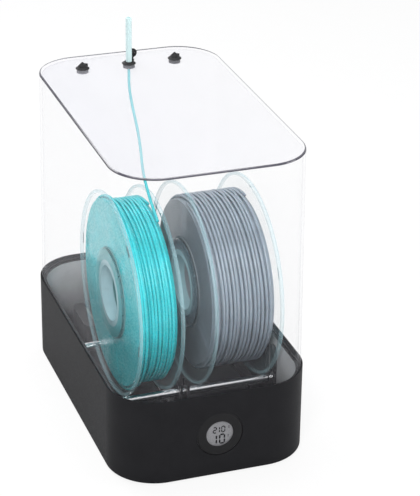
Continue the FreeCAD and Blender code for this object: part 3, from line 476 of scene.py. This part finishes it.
def turns_mesh(places, radius, lifts, points, faces, climbs=()):
    """One unbroken tube that moves in each turn to the next place and lies higher where it climbs."""
    rings = []
    count = len(places)
    total = (count - 1) * STEPS
    for step in range(total + 1):
        turn, part = divmod(step, STEPS)
        part /= STEPS
        angle = 2 * math.pi * part
        here = places[turn]
        there = places[min(turn + 1, count - 1)]
        across = part * part * (3 - 2 * part)
        x = here + (there - here) * across + WANDER * math.sin(angle * 2 + turn * WANDER_PHASE)
        lift = FLUTTER * math.sin(angle * 3 + turn * FLUTTER_PHASE)
        lift += lifts[turn % len(lifts)] * math.sin(angle)
        rise = climbs[turn] if turn < len(climbs) else 0.0
        after = climbs[turn + 1] if turn + 1 < len(climbs) else 0.0
        reach = radius + lift + rise + (after - rise) * across
        rings.append((x, reach, angle))
    first = len(points)
    for x, reach, angle in rings:
        out = Vector((0.0, -math.sin(angle), math.cos(angle)))
        for side in range(SIDES):
            swing = 2 * math.pi * side / SIDES
            spot = out * (reach + STRAND_RADIUS * math.cos(swing))
            points.append((x + STRAND_RADIUS * math.sin(swing), spot.y, AXLE + spot.z))
    for ring in range(len(rings) - 1):
        for side in range(SIDES):
            a = first + ring * SIDES + side
            b = first + ring * SIDES + (side + 1) % SIDES
            faces.append((a, a + SIDES, b + SIDES, b))
    faces.append(tuple(first + side for side in range(SIDES)))
    last = first + (len(rings) - 1) * SIDES
    faces.append(tuple(last + side for side in reversed(range(SIDES))))


def layered_ring(low_x, high_x, inner, outer, points, faces, shoulder=(0.0, 0.0)):
    """A ring with the edges of the filament's layers on its two sides and, with a rise, a left shoulder."""
    width, rise = shoulder
    profile = []
    for i in range(RING_STEPS + 1):
        r = inner + (outer + rise - inner) * i / RING_STEPS
        ripple = RIPPLE * abs(math.sin(math.pi * (r - inner) / LAYER))
        profile.append((low_x + SIDE_ROOM - ripple, r))
    if rise:
        profile.append((low_x + width, outer + rise))
        profile.append((low_x + width + rise * SHOULDER_SLOPE, outer))
    for i in range(RING_STEPS, -1, -1):
        r = inner + (outer - inner) * i / RING_STEPS
        ripple = RIPPLE * abs(math.sin(math.pi * (r - inner) / LAYER))
        profile.append((high_x - SIDE_ROOM + ripple, r))
    first = len(points)
    for i in range(RING_SIDES):
        angle = 2 * math.pi * i / RING_SIDES
        for x, r in profile:
            points.append((x, r * math.sin(angle), AXLE + r * math.cos(angle)))
    size = len(profile)
    for i in range(RING_SIDES):
        here = first + i * size
        there = first + (i + 1) % RING_SIDES * size
        for k in range(size):
            n = (k + 1) % size
            faces.append((here + k, here + n, there + n, there + k))


def add_winding(spool, seed, turns, gap_after, gap_width, finish, climbs=()):
    chance = random.Random(seed)
    low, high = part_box(f"{spool}_winding")
    outer = (high.z - low.z) / 2 - STRAND_RADIUS - CLEARANCE
    core_low, core_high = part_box(f"{spool}_core")
    start = low.x + STRAND_RADIUS + WANDER
    end = high.x - STRAND_RADIUS - WANDER
    steps = [1.0 + chance.uniform(-UNEVEN_STEP, UNEVEN_STEP) for _ in range(turns)]
    if gap_after is not None:
        steps[gap_after] = gap_width
    scale = (end - start) / sum(steps)
    places = [start]
    for step in steps:
        places.append(places[-1] + step * scale)
    lifts = [chance.uniform(LOWEST_LIFT, HIGHEST_LIFT) for _ in range(turns + 1)]
    points = []
    faces = []
    turns_mesh(places, outer, lifts, points, faces, climbs)
    middles = [(a + b) / 2 for a, b in zip(places, places[1:])]
    if gap_after is not None:
        wide = middles.pop(gap_after)
        quarter = gap_width * scale / 4
        middles[gap_after:gap_after] = [wide - quarter, wide + quarter]
    turns_mesh(middles, outer - UNDER_LAYER, lifts, points, faces, climbs)
    shoulder = (SHOULDER_WIDTH, climbs[0]) if climbs else (0.0, 0.0)
    layered_ring(core_low.x, core_high.x, DRUM_RADIUS + CLEARANCE, outer - RING_DROP, points, faces, shoulder)
    winding = new_mesh(f"{spool}_filament", points, faces, finish)
    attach(winding, spool)
    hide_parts(f"{spool}_winding", f"{spool}_core")


add_winding("left_spool", seed=5, turns=9, gap_after=1, gap_width=2.5, finish=teal_strand,
            climbs=(0.0056, 0.0050, 0.0))
add_winding("right_spool", seed=8, turns=15, gap_after=None, gap_width=0.0, finish=grey_strand)


# Digits on the meter
SEGMENTS = {"0": "abcdef", "1": "bc", "2": "abged"}
SEGMENT_THICK = 0.00012
SEGMENT_GAP = 0.25
DISPLAY_GAP = 0.00002
MARK_LENGTH = 0.0016
MARK_PITCH = 0.0014
MARK_HALF = 0.0004


def bar(points, faces, start, end, half, depth):
    """One display segment with pointed ends, standing a hair off the display."""
    along = (Vector(end) - Vector(start)).normalized()
    across = Vector((-along.y, along.x))
    a = Vector(start) + along * half * SEGMENT_GAP
    b = Vector(end) - along * half * SEGMENT_GAP
    outline = [a, a + along * half + across * half, b - along * half + across * half,
               b, b - along * half - across * half, a + along * half - across * half]
    first = len(points)
    for y in (depth, depth - SEGMENT_THICK):
        for corner in outline:
            points.append((corner.x, y, corner.y))
    count = len(outline)
    faces.append(tuple(first + count + i for i in reversed(range(count))))
    faces.append(tuple(first + i for i in range(count)))
    for i in range(count):
        j = (i + 1) % count
        faces.append((first + i, first + count + i, first + count + j, first + j))


def digit(points, faces, text, x, z, width, height, half, depth):
    corners = {"tl": (x, z + height), "tr": (x + width, z + height), "ml": (x, z + height / 2),
               "mr": (x + width, z + height / 2), "bl": (x, z), "br": (x + width, z)}
    ends = {"a": ("tl", "tr"), "b": ("tr", "mr"), "c": ("mr", "br"), "d": ("bl", "br"),
            "e": ("ml", "bl"), "f": ("tl", "ml"), "g": ("ml", "mr")}
    for segment in SEGMENTS[text]:
        start, end = ends[segment]
        bar(points, faces, corners[start], corners[end], half, depth)


def add_digits():
    low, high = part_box("meter_display")
    middle_x = (low.x + high.x) / 2
    middle_z = (low.z + high.z) / 2
    depth = low.y - DISPLAY_GAP
    points = []
    faces = []
    for text, x in (("2", -0.0060), ("1", -0.0030), ("0", 0.0022)):
        digit(points, faces, text, middle_x + x, middle_z + 0.0008,
              width=0.0031, height=0.0058, half=0.00055, depth=depth)
    for text, x in (("1", -0.0074), ("0", 0.0004)):
        digit(points, faces, text, middle_x + x, middle_z - 0.0110,
              width=0.0046, height=0.0092, half=0.0008, depth=depth)
    for x, z in ((0.0084, 0.0060), (0.0078, -0.0034)):
        left, top = middle_x + x, middle_z + z
        for height in (top, top - MARK_PITCH):
            bar(points, faces, (left, height), (left + MARK_LENGTH, height), MARK_HALF, depth)
    digits = new_mesh("display_digits", points, faces, digit_black, smooth=False)
    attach(digits, "meter")


add_digits()


# Floor, background and studio light
FLOOR_REACH = 6
FLOOR_HEIGHT = -0.0002


def add_floor():
    made = Nodes("floor_white")
    made.shader.inputs["Roughness"].default_value = 0.9
    grain = made.noise(40.0, 3.0)
    made.join(made.colours(grain, [(0.3, (0.90, 0.90, 0.90)), (0.7, (0.93, 0.93, 0.93))]),
              made.shader.inputs["Base Color"])
    glow = made.add("ShaderNodeEmission")
    glow.inputs["Strength"].default_value = 1.0
    path = made.add("ShaderNodeLightPath")
    blend = made.add("ShaderNodeMixShader")
    made.join(made.math("MULTIPLY", path.outputs["Is Camera Ray"], 0.85), blend.inputs["Fac"])
    made.join(made.shader.outputs["BSDF"], blend.inputs[1])
    made.join(glow.outputs["Emission"], blend.inputs[2])
    made.join(blend.outputs["Shader"], made.tree.nodes["Material Output"].inputs["Surface"])
    signs = ((-1, -1), (1, -1), (1, 1), (-1, 1))
    corners = [(x * FLOOR_REACH, y * FLOOR_REACH, FLOOR_HEIGHT) for x, y in signs]
    floor = new_mesh("floor", corners, [(0, 1, 2, 3)], made.material, smooth=False)


def add_world():
    world = bpy.data.worlds.new("studio")
    world.use_nodes = True
    tree = world.node_tree
    tree.nodes.clear()
    path = tree.nodes.new("ShaderNodeLightPath")
    first = tree.nodes.new("ShaderNodeMath")
    first.operation = "MAXIMUM"
    second = tree.nodes.new("ShaderNodeMath")
    second.operation = "MAXIMUM"
    tree.links.new(path.outputs["Is Camera Ray"], first.inputs[0])
    tree.links.new(path.outputs["Is Glossy Ray"], first.inputs[1])
    tree.links.new(first.outputs[0], second.inputs[0])
    tree.links.new(path.outputs["Is Transmission Ray"], second.inputs[1])
    seen = tree.nodes.new("ShaderNodeBackground")
    seen.inputs["Color"].default_value = (1.0, 1.0, 1.0, 1.0)
    seen.inputs["Strength"].default_value = 1.0
    light = tree.nodes.new("ShaderNodeBackground")
    light.inputs["Color"].default_value = (0.96, 0.97, 1.0, 1.0)
    light.inputs["Strength"].default_value = 0.26
    blend = tree.nodes.new("ShaderNodeMixShader")
    out = tree.nodes.new("ShaderNodeOutputWorld")
    tree.links.new(second.outputs[0], blend.inputs["Fac"])
    tree.links.new(light.outputs[0], blend.inputs[1])
    tree.links.new(seen.outputs[0], blend.inputs[2])
    tree.links.new(blend.outputs[0], out.inputs["Surface"])
    scene.world = world


def add_lamp(name, place, target, size, power):
    data = bpy.data.lights.new(name, "AREA")
    data.shape = "RECTANGLE"
    data.size, data.size_y = size
    data.energy = power
    lamp = bpy.data.objects.new(name, data)
    scene.collection.objects.link(lamp)
    lamp.location = place
    lamp.rotation_euler = (Vector(target) - Vector(place)).to_track_quat("-Z", "Y").to_euler()


add_floor()
add_world()
add_lamp("key", (-0.7, -1.5, 1.5), (0.0, 0.0, 0.15), (0.7, 0.9), 30.0)
add_lamp("fill", (1.6, -0.9, 0.8), (0.0, 0.0, 0.15), (0.9, 1.2), 12.0)
add_lamp("back", (-0.6, 1.3, 1.3), (0.05, -0.12, 0.06), (0.8, 0.8), 12.0)
add_lamp("top", (0.1, 0.4, 1.9), (0.0, 0.0, 0.1), (1.0, 1.0), 16.0)

scene.view_settings.view_transform = "Standard"
